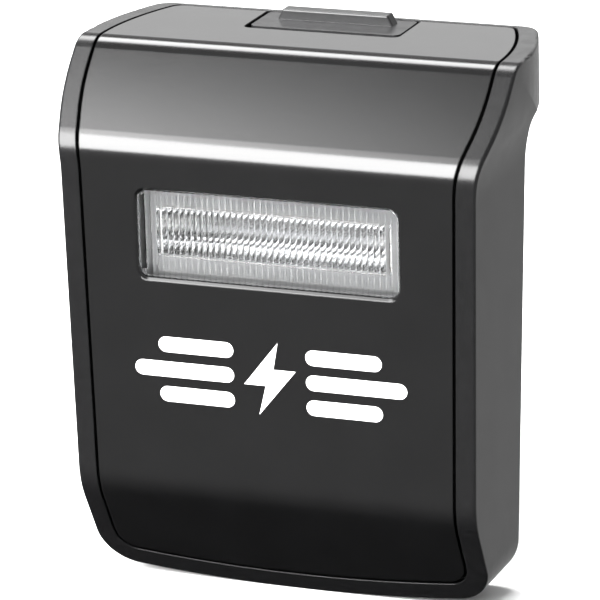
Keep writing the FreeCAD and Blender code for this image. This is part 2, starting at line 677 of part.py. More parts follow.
TROUGH_BACK = ("(%s + trough_straight + (trough_back_height/2 + sheet)*(trough_arc - sqrt(trough_arc^2 - 1)))"
               % GASKET_BACK)
CARRIER_INSIDE = f"({TROUGH_BACK} + carrier_clearance)"


def reflector():
    rim = window_hole("reflector_rim", "window_width + 2*lens_flange", "window_height + 2*lens_flange",
                      "window_radius", GASKET_BACK, "sheet")
    outside = trough("trough_outside", "sheet", "(mouth_width + 2*sheet)")
    inside = trough("trough_inside", "0", "mouth_width")
    tube_hole = rod("reflector_tube_hole", "tube_radius + tube_clearance", "mouth_width + 4*sheet", "X",
                    "0 - mouth_width/2 - 2*sheet", "tube_behind", "window_middle")
    return less("reflector", join("reflector_blank", rim, outside), inside, tube_hole)


TUBE_END = "(mouth_width/2 + sheet + sleeve_length)"


def end_pair(name, radius, inner, outer, hollow=None):
    """A rod at each end of the tube, from `inner` to `outer`, drilled to `hollow` if that is given."""
    ends = []
    for side, start in (("left", f"0 - ({outer})"), ("right", inner)):
        place_at = (start, "tube_behind", "window_middle")
        length = f"({outer}) - ({inner})"
        end = rod(f"{name}_{side}", radius, length, "X", *place_at)
        if hollow:
            end = less(f"{name}_{side}_ring", end, rod(f"{name}_{side}_bore", hollow, length, "X", *place_at))
        ends.append(end)
    return ends


def xenon_tube():
    start, length = f"0 - {TUBE_END}", f"2*{TUBE_END}"
    glass = rod("tube_glass", "tube_radius", length, "X", start, "tube_behind", "window_middle")
    bore = rod("tube_bore", "tube_radius - tube_wall", length, "X", start, "tube_behind", "window_middle")
    return less("xenon_tube", glass, bore)


def tube_end_caps():
    inner = end_pair("electrode", "electrode_radius", "mouth_width/2 - electrode_reach", TUBE_END)
    outer = end_pair("end_cap", "tube_radius", TUBE_END, f"{TUBE_END} + cap_length")
    return group("tube_end_caps", *[join(f"tube_end_cap_{i}", *pair) for i, pair in enumerate(zip(inner, outer))])


def reflector_carrier():
    width, rise = "window_width + 2*lens_flange", "window_height + 2*lens_flange"
    start = f"({GASKET_BACK} + sheet)"
    body = window_hole("carrier_body", width, rise, "window_radius", start,
                       f"{CARRIER_INSIDE} + carrier_wall - {start}")
    ears = [block("carrier_ear_" + side, "ear_size + 2*ear_root", "ear_thickness", "ear_size",
                  f"{sign}*(ear_spacing/2 - ear_root)", "ear_behind", f"{EAR_UP} - ear_size/2")
            for side, sign in BOTH_SIDES]
    gap = "(sheet + carrier_clearance)"
    inside = block("carrier_inside", f"mouth_width + 2*{gap}", f"{CARRIER_INSIDE} - {start} + overshoot",
                   f"mouth_height + 2*{gap}", "0",
                   f"{start} - overshoot", f"window_middle - mouth_height/2 - {gap}")
    tube_slot = block("carrier_tube_slot", "depth*2", f"tube_behind + tube_radius + sleeve_wall + tube_clearance",
                      "2*(tube_radius + sleeve_wall + tube_clearance)", "0", "0",
                      "window_middle - tube_radius - sleeve_wall - tube_clearance")
    trigger_hole = rod("carrier_trigger_hole", "lead_radius + carrier_clearance", "window_height", "Z",
                       "trigger_across", "trigger_behind", "window_middle - window_height")
    holes = [rod("carrier_hole_" + side, HOLE, "depth", "Y", f"{sign}*ear_spacing/2", "0", EAR_UP)
             for side, sign in BOTH_SIDES]
    return less("reflector_carrier", join("carrier_solid", body, *ears), inside, tube_slot, trigger_hole, *holes)


piece("reflector", reflector())
piece("xenon_tube", xenon_tube())
piece("tube_end_caps", tube_end_caps())
piece("tube_sleeves", group("tube_sleeves", *end_pair(
    "sleeve", "tube_radius + sleeve_wall", "mouth_width/2 + sheet", TUBE_END, "tube_radius")))
piece("reflector_carrier", reflector_carrier())
piece("carrier_screws", group("carrier_screws", *[
    screw("carrier_screw_" + side, "ear_screw_tip", "-Y", f"{sign}*ear_spacing/2", "ear_behind + ear_thickness",
          EAR_UP) for side, sign in BOTH_SIDES]))

# ---------------------------------------------------------------- circuit board and what it carries


def on_board(name, width, rise, thickness, across, up):
    """A block on the front of the board."""
    return block(name, width, thickness, rise, across, f"board_behind - ({thickness})", up)


def circuit_board():
    plate = block("board_plate", "board_width", "board_thickness", "board_top - board_bottom", "0",
                  "board_behind", "board_bottom")
    holes = [rod("board_hole_" + name, HOLE, "depth", "Y", across, "0", up)
             for name, across, up in board_screw_places()]
    return less("circuit_board", plate, *holes)


def storage_capacitor():
    start = "(capacitor_across - capacitor_length/2)"
    can = rod("capacitor_can", "capacitor_radius", "capacitor_length", "X", start, "capacitor_behind",
              "capacitor_up")
    groove_at = (f"{start} + capacitor_length - capacitor_radius/2", "capacitor_behind", "capacitor_up")
    groove = less("capacitor_groove_ring",
                  rod("groove_outside", "capacitor_radius + overshoot", "capacitor_groove*2", "X", *groove_at),
                  rod("groove_inside", "capacitor_radius - capacitor_groove", "capacitor_groove*2", "X",
                      *groove_at))
    leads = []
    end = f"({start} + capacitor_length)"
    bend = f"({end} + capacitor_lead_reach)"
    for side, sign in BOTH_SIDES:
        up = f"capacitor_up + {sign}*capacitor_lead_spacing/2"
        leads.append(wire("capacitor_lead_" + side, "capacitor_lead_radius", (end, "capacitor_behind", up),
                          (bend, "capacitor_behind", up), (bend, "board_behind", up)))
    return join("storage_capacitor", less("capacitor_body", can, groove), *leads)


def board_chips():
    chips = [on_board(f"chip_{i}", "chip_width", "chip_height", "chip_depth", f"{i}*chip_pitch", "chip_up")
             for i in range(-2, 4)]
    return group("board_chips", *chips)


def flash_lead(side, sign):
    across = f"{sign}*lead_across"
    return wire("flash_lead_" + side, "lead_radius", (across, "tube_behind + tube_radius", "window_middle"),
                (across, "lead_behind", "window_middle"), (across, "lead_behind", "lead_up"),
                (across, "board_behind", "lead_up"))


piece("circuit_board", circuit_board())
piece("board_screws", group("board_screws", *[
    screw("board_screw_" + name, "board_screw_tip", "+Y", across, "board_behind", up)
    for name, across, up in board_screw_places()]))
piece("storage_capacitor", storage_capacitor())
piece("capacitor_pad", block(
    "capacitor_pad", "capacitor_pad_length", f"capacitor_behind - capacitor_radius - {PANEL_BACK} - seat_clearance",
    "capacitor_radius", "capacitor_across", PANEL_BACK, "capacitor_up - capacitor_radius/2"))
piece("trigger_coil", on_board("trigger_coil", "coil_width", "coil_height", "coil_depth", "coil_across", "coil_up"))
piece("switching_transistor", on_board("switching_transistor", "transistor_width", "transistor_height",
                                       "transistor_depth", "transistor_across", "transistor_up"))
piece("wire_connector", on_board("wire_connector", "plug_width", "plug_height", "plug_depth", "plug_across",
                                 "plug_up"))
piece("board_chips", board_chips())
piece("flash_leads", group("flash_leads", *[flash_lead(side, sign) for side, sign in BOTH_SIDES]))
piece("trigger_lead", rod("trigger_lead", "lead_radius", "window_middle - mouth_height/2 - coil_up - coil_height",
                          "Z", "trigger_across", "trigger_behind", "coil_up + coil_height"))

# ---------------------------------------------------------------- contacts

PIN_COUNT = 4
COLLAR_BACK = "(block_behind - pin_shoulder)"
COLLAR_FRONT = f"({COLLAR_BACK} - pin_collar_length)"


def pin_places():
    for i in range(PIN_COUNT):
        yield i + 1, f"pin_pitch*{i - (PIN_COUNT - 1) / 2}"


def contact_block():
    low = "block_up - block_height/2"
    solid = join("contact_block_solid",
                 block("contact_body", "block_width", "block_behind - block_inside", "block_height", "0",
                       "block_inside", low),
                 block("contact_flange", "block_width + 2*block_step", "block_step", "block_height + 2*block_step",
                       "0", "block_inside", f"{low} - block_step"))
    bores = []
    for i, across in pin_places():
        bores.append(rod(f"pin_bore_{i}", "pin_radius + pin_bore_clearance", "depth", "Y", across, "block_inside",
                         "block_up"))
        bores.append(rod(f"collar_bore_{i}", "pin_collar_radius + pin_bore_clearance",
                         f"{COLLAR_BACK} - block_inside", "Y", across, "block_inside", "block_up"))
    return less("contact_block", solid, *bores)


def contact_pin(i, across):
    tip = rod(f"pin_tip_{i}", "pin_radius", "pin_shoulder + pin_reach", "Y", across, COLLAR_BACK, "block_up")
    collar = rod(f"pin_collar_{i}", "pin_collar_radius", "pin_collar_length", "Y", across, COLLAR_FRONT, "block_up")
    stem = rod(f"pin_stem_{i}", "pin_stem_radius", "pin_stem_length", "Y", across,
               f"{COLLAR_FRONT} - pin_stem_length", "block_up")
    blank = join(f"pin_blank_{i}", tip, collar, stem)
    end = number(f"{FRONT} + block_behind + pin_reach")
    return rounded(f"contact_pin_{i}", blank, [("pin_tip_round", lambda edge: middle(edge).y > end - 0.001
                                                and edge.BoundBox.YLength < 0.001)])


def pin_seat(i, across):
    plug = rod(f"seat_plug_{i}", "pin_collar_radius + pin_bore_clearance", "pin_seat_thickness", "Y", across,
               "block_inside", "block_up")
    tail = rod(f"seat_tail_{i}", "pin_tail_radius", f"block_inside - {BOARD_BACK}", "Y", across, BOARD_BACK,
               "block_up")
    return join(f"pin_seat_{i}", plug, tail)


piece("contact_block", contact_block())
piece("pin_seats", group("pin_seats", *[pin_seat(i, across) for i, across in pin_places()]))
for i, across in pin_places():
    piece(f"contact_pin_{i}", contact_pin(i, across))
    piece(f"pin_spring_{i}", spring(f"pin_spring_{i}", "pin_spring_radius", "pin_spring_wire", "pin_spring_turns",
                                    f"({COLLAR_FRONT} - block_inside - pin_seat_thickness)", across,
                                    "block_inside + pin_seat_thickness", "block_up"))

# ---------------------------------------------------------------- latch

SCREW_BEHIND = f"(({BUTTON_FRONT} + {BUTTON_BACK})/2)"
SLIDER_MIDDLE = "(height - panel_thickness - slider_gap - slider_thickness/2)"


def latch_button():
    """A plate that nearly fills the opening, with a finger rib across it and a pad that meets the slider."""
    plate = rounded("button_plate", block(
        "button_plate_block", "latch_opening_width - 2*button_side_gap", f"{BUTTON_BACK} - {BUTTON_FRONT}",
        "button_thickness", "0", BUTTON_FRONT, BUTTON_UNDER),
        [("button_radius", lambda edge: along(edge, Vector(0, 0, 1)))])
    rib_base, rib_top = f"({BUTTON_UNDER} + button_thickness - rib_softening/2)", "(rib_height + rib_softening/2)"
    rib_outline = outline("finger_rib_outline", FACING_FRONT, [
        ("0 - rib_width/2", "0"), ("rib_width/2", "0"), ("rib_width/2 - rib_end_slope", rib_top),
        ("0 - rib_width/2 + rib_end_slope", rib_top)], behind="depth - rib_back", up=rib_base)
    rib = rounded("finger_rib", prism("finger_rib_block", rib_outline, "rib_thickness/2", "rib_thickness/2"),
                  [("rib_softening", lambda edge: middle(edge).z > number(f"{rib_base} + 0.01"))])
    pad = block("button_pad", "latch_screw_spacing*2", f"slider_back - {BUTTON_FRONT} - button_side_gap",
                f"{BUTTON_UNDER} - {SLIDER_TOP}", "0", f"{BUTTON_FRONT} + button_side_gap", SLIDER_TOP)
    holes = [rod("button_hole_" + side, HOLE, f"latch_screw_tip - slider_thickness + latch_screw_sink "
                 "+ screw_clearance/2", "Z", f"{sign}*latch_screw_spacing/2", SCREW_BEHIND, SLIDER_TOP)
             for side, sign in BOTH_SIDES]
    return less("latch_button", join("button_solid", plate, rib, pad), *holes)


def latch_slider():
    body = block("slider_body", "slider_width", "slider_back - slider_front", "slider_thickness", "0",
                 "slider_front", SLIDER_BOTTOM)
    tongues, removed = [], []
    for side, sign in BOTH_SIDES:
        tongue = block("tongue_block_" + side, "tongue_width", "depth + tongue_reach - slider_back + overshoot",
                       "tongue_thickness", f"{sign}*tongue_spacing/2", "slider_back - overshoot", SLIDER_BOTTOM)
        tongues.append(lead_in("tongue_" + side, tongue))
        across = f"{sign}*latch_screw_spacing/2"
        removed.append(rod("slider_hole_" + side, HOLE, "depth", "Z", across, SCREW_BEHIND, SLIDER_BOTTOM))
        removed.append(rod("slider_sink_" + side, "screw_head_radius + screw_clearance", "latch_screw_sink", "Z",
                           across, SCREW_BEHIND, SLIDER_BOTTOM))
        removed.append(rod("slider_spring_bore_" + side, "spring_radius + spring_clearance", "spring_bore_depth",
                           "Y", f"{sign}*spring_across", "slider_front", SLIDER_MIDDLE))
    return less("latch_slider", join("slider_solid", body, *tongues), *removed)


def lead_in(name, base):
    """The tongue's lower back edge is bevelled, so it snaps over its catch."""
    doc.recompute()
    bevel = add("Part::Chamfer", name)
    bevel.Base = base
    box = base.Shape.BoundBox
    bevel.Edges = [(index, number("tongue_bevel"), number("tongue_bevel"))
                   for index, edge in enumerate(base.Shape.Edges, start=1)
                   if along(edge, Vector(1, 0, 0)) and middle(edge).y > box.YMax - 0.01
                   and middle(edge).z < box.ZMin + 0.01]
    return bevel


def latch_guide():
    floor = block("guide_floor", "guide_width", "slider_back - guide_front", "guide_thickness", "0",
                  "guide_front", f"{GUIDE_TOP} - guide_thickness")
    stop = block("guide_stop", "slider_width", "guide_wall", f"{SLIDER_TOP} - {GUIDE_TOP}", "0", "guide_front",
                 GUIDE_TOP)
    rails = [block("guide_rail_" + side, "guide_wall", "slider_back - guide_front", "slider_thickness/2",
                   f"{sign}*(slider_width/2 + slider_gap + guide_wall/2)", "guide_front", GUIDE_TOP)
             for side, sign in BOTH_SIDES]
    holes = [rod("guide_screw_hole_" + side, HOLE, "depth", "Z", f"{sign}*guide_screw_spacing/2",
                 "guide_screw_behind", f"{GUIDE_TOP} - depth/2") for side, sign in BOTH_SIDES]
    return less("latch_guide", join("guide_solid", floor, stop, *rails), *holes)


piece("latch_button", latch_button())
piece("latch_slider", latch_slider())
piece("latch_screws", group("latch_screws", *[
    screw("latch_screw_" + side, "latch_screw_tip", "+Z", f"{sign}*latch_screw_spacing/2", SCREW_BEHIND,
          f"{SLIDER_BOTTOM} + latch_screw_sink") for side, sign in BOTH_SIDES]))
piece("latch_guide", latch_guide())
piece("guide_screws", group("guide_screws", *[
    screw("guide_screw_" + side, "guide_screw_tip", "+Z", f"{sign}*guide_screw_spacing/2", "guide_screw_behind",
          f"{GUIDE_TOP} - guide_thickness") for side, sign in BOTH_SIDES]))
for side, sign in BOTH_SIDES:
    piece("latch_spring_" + side, spring(
        "latch_spring_" + side, "spring_radius", "spring_wire", "spring_turns",
        "(slider_front + spring_bore_depth - guide_front - guide_wall)", f"{sign}*spring_across",
        "guide_front + guide_wall", SLIDER_MIDDLE))

# ---------------------------------------------------------------- check and write

doc.recompute()
failed = [thing.Name for thing in doc.Objects if "Invalid" in thing.State or "Error" in thing.State]
if failed:
    raise RuntimeError(f"these failed: {failed}")
os.makedirs("parts", exist_ok=True)
for name, thing in PIECES.items():
    shape = thing.Shape
    if shape.isNull() or not shape.isValid() or not shape.Solids:
        raise RuntimeError(f"{name} has no valid solid")
    shape.exportStep(f"parts/{name}.step")
    box = shape.BoundBox
    print(f"{name}: {len(shape.Solids)} solid(s), {shape.Volume:.1f} mm3, "
          f"x {box.XMin:.2f} {box.XMax:.2f}, y {box.YMin:.2f} {box.YMax:.2f}, z {box.ZMin:.2f} {box.ZMax:.2f}")
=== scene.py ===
import json
import math

import bmesh
import bpy
from mathutils import Matrix, Vector


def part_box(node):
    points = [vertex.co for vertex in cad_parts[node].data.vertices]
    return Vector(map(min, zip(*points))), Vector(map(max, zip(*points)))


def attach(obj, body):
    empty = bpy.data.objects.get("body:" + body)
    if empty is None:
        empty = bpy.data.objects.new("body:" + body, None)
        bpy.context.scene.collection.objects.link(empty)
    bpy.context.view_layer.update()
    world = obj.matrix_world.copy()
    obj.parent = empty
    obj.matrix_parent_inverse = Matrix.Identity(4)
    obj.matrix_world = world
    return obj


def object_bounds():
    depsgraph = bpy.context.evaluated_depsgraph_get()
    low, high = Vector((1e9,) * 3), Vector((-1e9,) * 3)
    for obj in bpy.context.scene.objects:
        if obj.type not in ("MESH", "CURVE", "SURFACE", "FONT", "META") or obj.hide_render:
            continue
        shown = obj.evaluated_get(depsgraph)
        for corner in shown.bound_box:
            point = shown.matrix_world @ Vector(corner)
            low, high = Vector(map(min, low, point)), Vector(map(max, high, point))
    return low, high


# The looks of a clip-on flash module: materials, a printed mark, a studio floor, lights and a camera.
# Everything is in metres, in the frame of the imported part: the face looks along -Y and +Z is up.

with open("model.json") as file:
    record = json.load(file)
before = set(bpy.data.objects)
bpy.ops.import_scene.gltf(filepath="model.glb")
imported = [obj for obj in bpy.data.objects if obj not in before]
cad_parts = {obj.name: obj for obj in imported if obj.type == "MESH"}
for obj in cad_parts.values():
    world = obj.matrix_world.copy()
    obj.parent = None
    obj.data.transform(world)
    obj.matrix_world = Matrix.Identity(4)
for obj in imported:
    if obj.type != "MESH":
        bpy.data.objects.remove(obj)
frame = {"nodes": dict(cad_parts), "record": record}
cad_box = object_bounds()
MM = 0.001

# ---------------------------------------------------------------- materials


class Finish:
    """A Principled material under construction, with noise in object coordinates for its detail."""

    def __init__(self, name, color, roughness, metallic=0.0, ior=1.5):
        self.name = name
        self.material = bpy.data.materials.new(name + "_look")
        self.material.use_nodes = True
        self.nodes = self.material.node_tree.nodes
        self.links = self.material.node_tree.links
        self.shader = self.nodes["Principled BSDF"]
        self.color, self.roughness = color, roughness
        self.set("Base Color", (*color, 1))
        self.set("Roughness", roughness)
        self.set("Metallic", metallic)
        self.set("IOR", ior)
        self.place = self.nodes.new("ShaderNodeTexCoord").outputs["Object"]

    def set(self, socket, value):
        self.shader.inputs[socket].default_value = value

    def noise(self, size, detail=2.0, stretch=(1, 1, 1)):
        """Noise with features about size metres across, and longer along an axis whose stretch is small."""
        mapping = self.nodes.new("ShaderNodeMapping")
        mapping.inputs["Scale"].default_value = stretch
        self.links.new(self.place, mapping.inputs["Vector"])
        texture = self.nodes.new("ShaderNodeTexNoise")
        texture.inputs["Scale"].default_value = 1 / size
        texture.inputs["Detail"].default_value = detail
        self.links.new(mapping.outputs["Vector"], texture.inputs["Vector"])
        return texture.outputs["Fac"]

    def spread(self, source, low, high):
        """The source's middle range, mapped to low..high."""
        node = self.nodes.new("ShaderNodeMapRange")
        node.inputs["From Min"].default_value = 0.3
        node.inputs["From Max"].default_value = 0.7
        node.inputs["To Min"].default_value = low
        node.inputs["To Max"].default_value = high
        self.links.new(source, node.inputs["Value"])
        return node.outputs["Result"]

    def vary_color(self, size, amount, stretch=(1, 1, 1)):
        mix = self.nodes.new("ShaderNodeMix")
        mix.data_type = "RGBA"
        colors = [socket for socket in mix.inputs if socket.type == "RGBA"]
        colors[0].default_value = (*[c * (1 - amount) for c in self.color], 1)
        colors[1].default_value = (*[min(1, c * (1 + amount)) for c in self.color], 1)
        self.links.new(self.spread(self.noise(size, stretch=stretch), 0, 1), mix.inputs["Factor"])
        mixed = [socket for socket in mix.outputs if socket.type == "RGBA"]
        self.links.new(mixed[0], self.shader.inputs["Base Color"])
        return self

    def vary_roughness(self, size, amount, stretch=(1, 1, 1)):
        low, high = self.roughness * (1 - amount), self.roughness * (1 + amount)
        varied = self.spread(self.noise(size, 3.0, stretch), low, high)
        self.links.new(varied, self.shader.inputs["Roughness"])
        return self

    def bump(self, size, height, strength=1.0, stretch=(1, 1, 1), edge=0.0):
        """A fine relief. edge also rounds the corners in shading, over that many metres."""
        node = self.nodes.new("ShaderNodeBump")
        node.inputs["Strength"].default_value = strength
        node.inputs["Distance"].default_value = height
        self.links.new(self.noise(size, stretch=stretch), node.inputs["Height"])
        if edge:
            bevel = self.nodes.new("ShaderNodeBevel")
            bevel.samples = 4
            bevel.inputs["Radius"].default_value = edge
            self.links.new(bevel.outputs["Normal"], node.inputs["Normal"])
        self.links.new(node.outputs["Normal"], self.shader.inputs["Normal"])
        return self


def lit_through(finish, tint):
    """Lets shadow and diffuse rays go straight through clear plastic or glass to what lies behind it."""
    nodes, links = finish.nodes, finish.links
    path = nodes.new("ShaderNodeLightPath")
    clear = nodes.new("ShaderNodeBsdfTransparent")
    clear.inputs["Color"].default_value = (*tint, 1)
    either = nodes.new("ShaderNodeMath")
    either.operation = "MAXIMUM"
    links.new(path.outputs["Is Shadow Ray"], either.inputs[0])
    links.new(path.outputs["Is Diffuse Ray"], either.inputs[1])
    mix = nodes.new("ShaderNodeMixShader")
    links.new(either.outputs["Value"], mix.inputs["Fac"])
    links.new(finish.shader.outputs["BSDF"], mix.inputs[1])
    links.new(clear.outputs["BSDF"], mix.inputs[2])
    links.new(mix.outputs["Shader"], nodes["Material Output"].inputs["Surface"])
    return finish


RIM_THICKNESS, RIM_EDGE = 0.4 * MM, 0.1 * MM


def satin_rim(finish, rim_back, scatter):
    """The flat rim of a metal sheet, ahead of rim_back, scatters light instead of mirroring it."""
    nodes, links = finish.nodes, finish.links
    split = nodes.new("ShaderNodeSeparateXYZ")
    links.new(finish.place, split.inputs["Vector"])
    polished = finish.shader.inputs["Roughness"].links[0].from_socket
    rougher = nodes.new("ShaderNodeMath")
    links.new(polished, rougher.inputs[0])
    rim_to_trough = ((0, 1, finish.shader.inputs["Metallic"]), (scatter, 0, rougher.inputs[1]))
    for low, high, socket in rim_to_trough:
        step = nodes.new("ShaderNodeMapRange")
        step.inputs["From Min"].default_value = rim_back
        step.inputs["From Max"].default_value = rim_back + RIM_EDGE
        step.inputs["To Min"].default_value = low
        step.inputs["To Max"].default_value = high
        links.new(split.outputs["Y"], step.inputs["Value"])
        links.new(step.outputs["Result"], socket)
    links.new(rougher.outputs["Value"], finish.shader.inputs["Roughness"])


def plastics():
    gloss = Finish("gloss_panel", (0.0022, 0.0022, 0.0023), 0.17)
    gloss.vary_roughness(0.004, 0.03).vary_color(0.006, 0.12).bump(0.0009, 0.000004, 0.5, edge=0.00022)
    housing = Finish("housing_plastic", (0.0035, 0.0035, 0.0037), 0.24, ior=1.42)
    housing.vary_roughness(0.003, 0.12).vary_color(0.0008, 0.2).bump(0.00028, 0.00002, 0.35, edge=0.00025)
    latch = Finish("latch_plastic", (0.012, 0.012, 0.0125), 0.34)
    latch.vary_roughness(0.002, 0.15).vary_color(0.0008, 0.2).bump(0.0003, 0.00002, 0.4, edge=0.00008)
    inner = Finish("inner_plastic", (0.05, 0.05, 0.052), 0.5)
    inner.vary_color(0.002, 0.2).vary_roughness(0.002, 0.15).bump(0.0004, 0.00003, 0.5, edge=0.0002)
    lens = Finish("clear_plastic", (0.97, 0.98, 0.99), 0.04, ior=1.49)
    lens.set("Transmission Weight", 1.0)
    lit_through(lens.vary_roughness(0.004, 0.3).bump(0.002, 0.000004, 0.4), (0.26, 0.26, 0.26))
    return gloss, housing, latch, inner, lens


def metals():
    sheet = Finish("bright_sheet", (0.8, 0.8, 0.8), 0.11, metallic=1.0)
    sheet.vary_roughness(0.0012, 0.35, (0.15, 1, 1)).bump(0.0006, 0.00001, 0.4, (0.2, 1, 1))
    satin_rim(sheet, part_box("reflector")[0].y + RIM_THICKNESS, 0.5)
    cap = Finish("electrode_metal", (0.42, 0.41, 0.4), 0.32, metallic=1.0)
    cap.vary_color(0.0006, 0.25).vary_roughness(0.0006, 0.3).bump(0.0003, 0.00001, 0.5, edge=0.0002)
    steel = Finish("screw_steel", (0.33, 0.33, 0.34), 0.3, metallic=1.0)
    steel.vary_color(0.0006, 0.3).vary_roughness(0.0005, 0.3).bump(0.0002, 0.00001, 0.5, edge=0.0001)
    gold = Finish("gold_plate", (0.86, 0.62, 0.25), 0.2, metallic=1.0)
    gold.vary_color(0.0005, 0.12).vary_roughness(0.0004, 0.35).bump(0.0002, 0.000006, 0.5, edge=0.0001)
    coil = Finish("spring_steel", (0.58, 0.58, 0.6), 0.25, metallic=1.0)
    coil.vary_color(0.0004, 0.2).vary_roughness(0.0003, 0.3).bump(0.00012, 0.000005, 0.5)
    return sheet, cap, steel, gold, coil


def inner_parts():
    tube = Finish("tube_glass", (1, 1, 1), 0.02, ior=1.47)
    tube.set("Transmission Weight", 1.0)
    lit_through(tube.bump(0.003, 0.000004, 0.3), (0.97, 0.98, 1.0))
    foam = Finish("foam", (0.02, 0.02, 0.02), 0.9)
    foam.vary_color(0.0005, 0.4).bump(0.00035, 0.0001, 0.8)
    rubber = Finish("pad_rubber", (0.014, 0.014, 0.014), 0.72)
    rubber.vary_color(0.0009, 0.25).vary_roughness(0.001, 0.12).bump(0.00025, 0.00003, 0.7, edge=0.0002)
    silicone = Finish("silicone", (0.75, 0.73, 0.7), 0.5)
    silicone.set("Subsurface Weight", 0.2)
    silicone.vary_color(0.001, 0.06).bump(0.0005, 0.00002, 0.5)
    board = Finish("board_green", (0.015, 0.11, 0.045), 0.33)
    board.vary_color(0.0016, 0.35, (1, 1, 3)).vary_roughness(0.001, 0.2).bump(0.0004, 0.00002, 0.5)
    sleeve = Finish("capacitor_sleeve", (0.012, 0.02, 0.05), 0.28)
    sleeve.vary_color(0.002, 0.2, (0.3, 1, 1)).bump(0.0012, 0.00002, 0.4, (0.2, 1, 1))
    epoxy = Finish("coil_epoxy", (0.02, 0.018, 0.016), 0.4)
    epoxy.vary_color(0.0008, 0.3).bump(0.0006, 0.00003, 0.6)
    chip = Finish("chip_black", (0.018, 0.018, 0.02), 0.45)
    chip.vary_color(0.0003, 0.3).bump(0.00015, 0.00001, 0.6)
    red = Finish("lead_red", (0.45, 0.02, 0.015), 0.42)
    red.vary_color(0.001, 0.15).bump(0.0007, 0.00001, 0.4)
    white_lead = Finish("lead_white", (0.7, 0.7, 0.68), 0.42)
    white_lead.vary_color(0.001, 0.06).bump(0.0007, 0.00001, 0.4)
    white = Finish("connector_white", (0.86, 0.86, 0.85), 0.42)
    white.vary_color(0.0006, 0.04).vary_roughness(0.0005, 0.2).bump(0.0003, 0.000005, 0.4)
    return tube, foam, rubber, silicone, board, sleeve, epoxy, chip, red, white_lead, white


MATERIALS = {finish.name: finish.material for finish in (*plastics(), *metals(), *inner_parts())}


def paint_nodes():
    """Each CAD node gets the material of the record's slot that it names."""
    for piece in frame["record"]["subparts"]:
        mesh = frame["nodes"][piece["node"]].data
        mesh.materials.clear()
        mesh.materials.append(MATERIALS[piece["material_slot"]])


paint_nodes()

# ---------------------------------------------------------------- studio floor


def studio_floor():
    bpy.ops.mesh.primitive_plane_add(size=6.0, location=(0, 0, cad_box[0].z))
    floor = bpy.context.object
    floor.name = "floor"
    paper = Finish("floor_paper", (0.93, 0.93, 0.93), 0.9)
    paper.vary_color(0.002, 0.01).bump(0.001, 0.00002, 0.2)
    floor.data.materials.append(paper.material)
    floor.visible_glossy = False


studio_floor()

# ---------------------------------------------------------------- light


def world_light(low, middle, high):
    """Soft light from all round. It is darkest straight below, where a glossy tuck looks."""
    world = bpy.data.worlds.new("studio")
    bpy.context.scene.world = world
    world.use_nodes = True
    nodes, links = world.node_tree.nodes, world.node_tree.links
    split = nodes.new("ShaderNodeSeparateXYZ")
    links.new(nodes.new("ShaderNodeTexCoord").outputs["Generated"], split.inputs["Vector"])
    ramp = nodes.new("ShaderNodeValToRGB")
    stops = ((0.0, low), (0.1, low), (0.3, middle), (0.44, middle), (0.6, high), (1.0, high))
    place = nodes.new("ShaderNodeMapRange")
    place.inputs["From Min"].default_value = -1.0
    links.new(split.outputs["Z"], place.inputs["Value"])
    links.new(place.outputs["Result"], ramp.inputs["Fac"])
    while len(ramp.color_ramp.elements) < len(stops):
        ramp.color_ramp.elements.new(0.5)
    for element, (position, level) in zip(ramp.color_ramp.elements, stops):
        element.position = position
        element.color = (level, level, level, 1)
    links.new(ramp.outputs["Color"], nodes["Background"].inputs["Color"])


def softbox(name, centre, target, width, length, radiance, up=(0, 0, 1)):
    """A rectangular light that faces its target. Its power follows from the radiance wanted."""
    light = bpy.data.lights.new(name, "AREA")
    light.shape = "RECTANGLE"
    light.size, light.size_y = width, length
    light.energy = radiance * math.pi * width * length
    lamp = bpy.data.objects.new(name, light)
    bpy.context.collection.objects.link(lamp)
    back = (Vector(centre) - Vector(target)).normalized()
    right = Vector(up).cross(back).normalized()
    axes = Matrix((right, back.cross(right), back)).transposed()
    lamp.matrix_world = Matrix.Translation(centre) @ axes.to_4x4()
    lamp.visible_camera = False
    lamp.visible_transmission = False
    return lamp


MIDDLE = (cad_box[0] + cad_box[1]) / 2
TOP = Vector((0, 0, cad_box[1].z))

world_light(0.02, 0.62, 0.5)
softbox("key_box", (-0.217, -0.444, 0.363), MIDDLE, 0.62, 0.38, 24.0)
softbox("edge_strip", (-0.13, 0.2, 0.47), TOP, 0.45, 0.17, 14.0, up=(0, 1, 0))
softbox("top_box", (-0.28, 0.71, 0.29), TOP, 0.9, 0.17, 1.15)


SLOPE_BOX_Y, SLOPE_BOX_Z, SLOPE_BOX_LENGTH = -0.18, 0.42, 0.145
SLOPE_BRIGHT, SLOPE_DIM = 14.0, 2.6


def slope_box(name, x, width, radiance):
    """A box above the slope that shines straight down."""
    centre = Vector((x, SLOPE_BOX_Y, SLOPE_BOX_Z))
    softbox(name, centre, centre - Vector((0, 0, 1)), width, SLOPE_BOX_LENGTH, radiance, up=(0, 1, 0))


def slope_row(left, right, count):
    """Boxes side by side that get dimmer to the right."""
    width = (right - left) / count
    for i in range(count):
        radiance = SLOPE_BRIGHT + (SLOPE_DIM - SLOPE_BRIGHT) * i / (count - 1)
        slope_box(f"slope_box_{i}", left + (i + 0.5) * width, width, radiance)


slope_row(-0.21, -0.07, 7)
slope_box("slope_fill", -0.27, 0.12, SLOPE_BRIGHT)

# ---------------------------------------------------------------- printed mark

PRINT_LIFT = 0.02 * MM
PRINT_LOW, PRINT_HIGH = 27.0 * MM, 37.0 * MM
PRINT_MIDDLE = (PRINT_LOW + PRINT_HIGH) / 2

